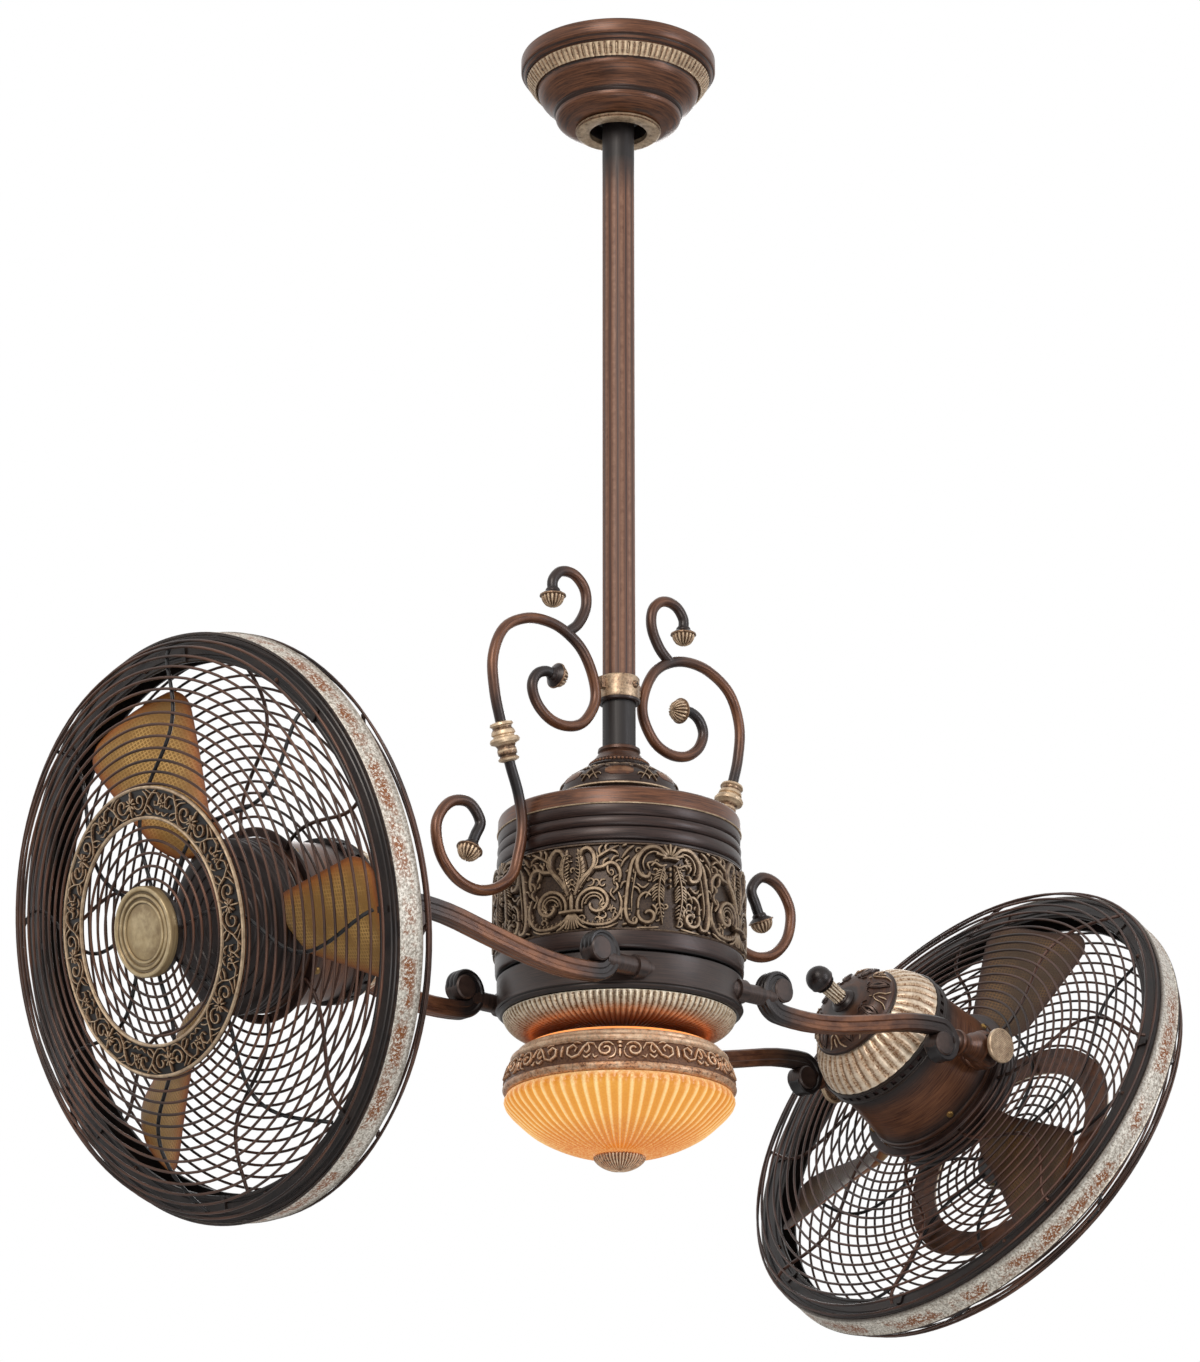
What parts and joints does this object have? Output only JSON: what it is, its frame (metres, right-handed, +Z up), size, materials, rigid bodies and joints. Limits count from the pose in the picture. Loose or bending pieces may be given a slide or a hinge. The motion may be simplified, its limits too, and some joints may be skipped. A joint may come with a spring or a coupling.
{
  "type": "twin head ceiling fan",
  "caption": "Ornate ceiling fan with a downrod, a turning carrier, two tilting caged fan heads on scroll arms and a fluted glass light below.",
  "frame": {"origin": "centre of the hanger bracket's upper face, on the ceiling and on the axis of the downrod", "axes": "+Z up along the downrod, +X from the downrod towards the head that hangs lower in front, +Y to the back of the arms"},
  "size_m": [1.0573, 0.462, 1.1161],
  "materials": {
    "walnut": "brushed walnut brown",
    "dark_bronze": "satin dark bronze",
    "copper_brown": "brushed copper brown",
    "antique_gold": "antique gold relief",
    "antique_silver": "antique silver with rust speckle",
    "wire_brown": "satin brown wire",
    "blade_gold": "gold mesh pattern with copper edges",
    "amber_glass": "fluted amber glass, lit",
    "plated_steel": "zinc plated",
    "porcelain": "white porcelain",
    "lamp_glass": "warm white lamp"
  },
  "bodies": {
    "column": {"hanger_bracket": "plated_steel", "hanger_ball": "dark_bronze", "canopy": "walnut", "canopy_collar": "antique_gold", "downrod": "walnut", "rod_collar": "antique_gold", "scroll_right": "copper_brown", "scroll_left": "copper_brown", "coupling_dome": "dark_bronze", "housing_cap": "walnut", "housing_shell": "dark_bronze", "scroll_band": "antique_gold", "turning_motor": "plated_steel", "centre_shaft": "plated_steel", "fitter_plate": "plated_steel", "light_fitter": "antique_gold", "glass_bowl": "amber_glass", "glass_finial": "antique_gold", "lamp_socket_right": "porcelain", "lamp_right": "lamp_glass", "lamp_socket_left": "porcelain", "lamp_left": "lamp_glass"},
    "carrier": {"carrier_ring": "dark_bronze", "under_pan": "antique_silver", "arm_right_back": "copper_brown", "arm_right_front": "copper_brown", "arm_left_back": "copper_brown", "arm_left_front": "copper_brown"},
    "head_right": {"rear_finial_right": "dark_bronze", "rear_cap_right": "dark_bronze", "rear_shell_right": "antique_silver", "vent_ring_right": "dark_bronze", "motor_housing_right": "copper_brown", "guard_band_right": "antique_silver", "rear_guard_right": "wire_brown", "front_guard_right": "wire_brown", "filigree_ring_right": "antique_gold", "medallion_right": "antique_gold"},
    "rotor_right": {"rotor_hub_right": "dark_bronze", "blade_right_1": "blade_gold", "blade_right_2": "blade_gold", "blade_right_3": "blade_gold"},
    "tilt_knob_right_back": {"tilt_knob_right_back": "antique_gold"},
    "tilt_knob_right_front": {"tilt_knob_right_front": "antique_gold"},
    "head_left": {"rear_finial_left": "dark_bronze", "rear_cap_left": "dark_bronze", "rear_shell_left": "antique_silver", "vent_ring_left": "dark_bronze", "motor_housing_left": "copper_brown", "guard_band_left": "antique_silver", "rear_guard_left": "wire_brown", "front_guard_left": "wire_brown", "filigree_ring_left": "antique_gold", "medallion_left": "antique_gold"},
    "rotor_left": {"rotor_hub_left": "dark_bronze", "blade_left_1": "blade_gold", "blade_left_2": "blade_gold", "blade_left_3": "blade_gold"},
    "tilt_knob_left_back": {"tilt_knob_left_back": "antique_gold"},
    "tilt_knob_left_front": {"tilt_knob_left_front": "antique_gold"}
  },
  "joints": [
    {"name": "carrier_turn", "type": "hinge", "parent": "column", "child": "carrier", "pos_m": [0, 0, -0.87], "axis": [0, 0, 1], "continuous": true},
    {"name": "head_tilt_right", "type": "hinge", "parent": "carrier", "child": "head_right", "pos_m": [0.357, 0, -0.8728], "axis": [0, 1, 0], "range_deg": [-26.5, 53.5]},
    {"name": "fan_spin_right", "type": "hinge", "parent": "head_right", "child": "rotor_right", "pos_m": [0.357, 0, -0.8728], "axis": [0.8949, 0, -0.4462], "continuous": true},
    {"name": "knob_turn_right_back", "type": "hinge", "parent": "carrier", "child": "tilt_knob_right_back", "pos_m": [0.357, 0, -0.8728], "axis": [0, 1, 0], "range_deg": [0, 180]},
    {"name": "knob_turn_right_front", "type": "hinge", "parent": "carrier", "child": "tilt_knob_right_front", "pos_m": [0.357, 0, -0.8728], "axis": [0, -1, 0], "range_deg": [0, 180]},
    {"name": "head_tilt_left", "type": "hinge", "parent": "carrier", "child": "head_left", "pos_m": [-0.357, 0, -0.8728], "axis": [0, -1, 0], "range_deg": [-13, 67]},
    {"name": "fan_spin_left", "type": "hinge", "parent": "head_left", "child": "rotor_left", "pos_m": [-0.357, 0, -0.8728], "axis": [-0.9744, 0, -0.225], "continuous": true},
    {"name": "knob_turn_left_back", "type": "hinge", "parent": "carrier", "child": "tilt_knob_left_back", "pos_m": [-0.357, 0, -0.8728], "axis": [0, 1, 0], "range_deg": [0, 180]},
    {"name": "knob_turn_left_front", "type": "hinge", "parent": "carrier", "child": "tilt_knob_left_front", "pos_m": [-0.357, 0, -0.8728], "axis": [0, -1, 0], "range_deg": [0, 180]}
  ]
}
